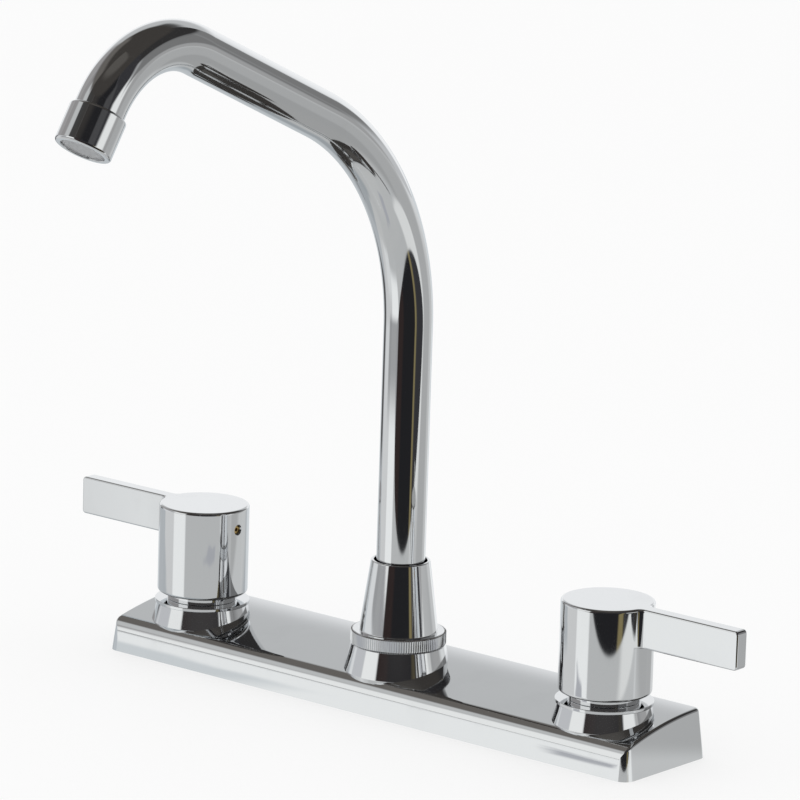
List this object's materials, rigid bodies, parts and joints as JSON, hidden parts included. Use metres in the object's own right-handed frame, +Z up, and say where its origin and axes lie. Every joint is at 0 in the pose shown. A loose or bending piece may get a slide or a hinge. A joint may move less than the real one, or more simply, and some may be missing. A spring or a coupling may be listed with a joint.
{
  "type": "two handle kitchen faucet",
  "caption": "Deck-mounted kitchen faucet with a long cover plate, two round lever handles and a high swivel spout with an aerator.",
  "frame": {"origin": "on the spout's axis, in the plane of the gasket's underside, where the faucet rests on the sink deck", "axes": "+X along the plate towards the right handle, -Y towards the user, +Z up along the spout's riser"},
  "size_m": [0.3292, 0.2243, 0.3353],
  "materials": {
    "chrome": "polished plate",
    "brass": "machined",
    "copper": "drawn tube",
    "rubber": "matte",
    "ceramic": "lapped",
    "white_plastic": "moulded",
    "grey_plastic": "moulded",
    "steel": "zinc plated"
  },
  "bodies": {
    "base": {"deck_plate": "chrome", "base_gasket": "rubber", "spout_post": "brass", "spout_nut": "chrome", "glide_ring": "white_plastic", "left_valve_body": "brass", "left_crossover_tube": "copper", "left_cartridge_shell": "brass", "left_seat_seal": "rubber", "left_fixed_disc": "ceramic", "left_cartridge_o_ring": "rubber", "left_bonnet_nut": "chrome", "left_mounting_washer": "steel", "left_mounting_nut": "brass", "right_valve_body": "brass", "right_crossover_tube": "copper", "right_cartridge_shell": "brass", "right_seat_seal": "rubber", "right_fixed_disc": "ceramic", "right_cartridge_o_ring": "rubber", "right_bonnet_nut": "chrome", "right_mounting_washer": "steel", "right_mounting_nut": "brass"},
    "spout": {"spout_tube": "chrome", "spout_end_fitting": "brass", "upper_o_ring": "rubber", "lower_o_ring": "rubber", "aerator_housing": "chrome", "aerator_washer": "rubber", "aerator_flow_former": "white_plastic", "aerator_grille": "grey_plastic"},
    "left_handle_group": {"left_handle": "chrome", "left_set_screw": "brass", "left_stem": "brass", "left_turning_disc": "ceramic", "left_stem_o_ring": "rubber"},
    "right_handle_group": {"right_handle": "chrome", "right_set_screw": "brass", "right_stem": "brass", "right_turning_disc": "ceramic", "right_stem_o_ring": "rubber"}
  },
  "joints": [
    {"name": "left_handle_turn", "type": "hinge", "parent": "base", "child": "left_handle_group", "pos_m": [-0.1016, 0, 0.0546], "axis": [0, 0, 1], "range_deg": [0, 90]},
    {"name": "right_handle_turn", "type": "hinge", "parent": "base", "child": "right_handle_group", "pos_m": [0.1016, 0, 0.0546], "axis": [0, 0, 1], "range_deg": [-90, 0]},
    {"name": "spout_swivel", "type": "hinge", "parent": "base", "child": "spout", "pos_m": [0, 0, 0.04], "axis": [0, 0, 1], "continuous": true}
  ]
}
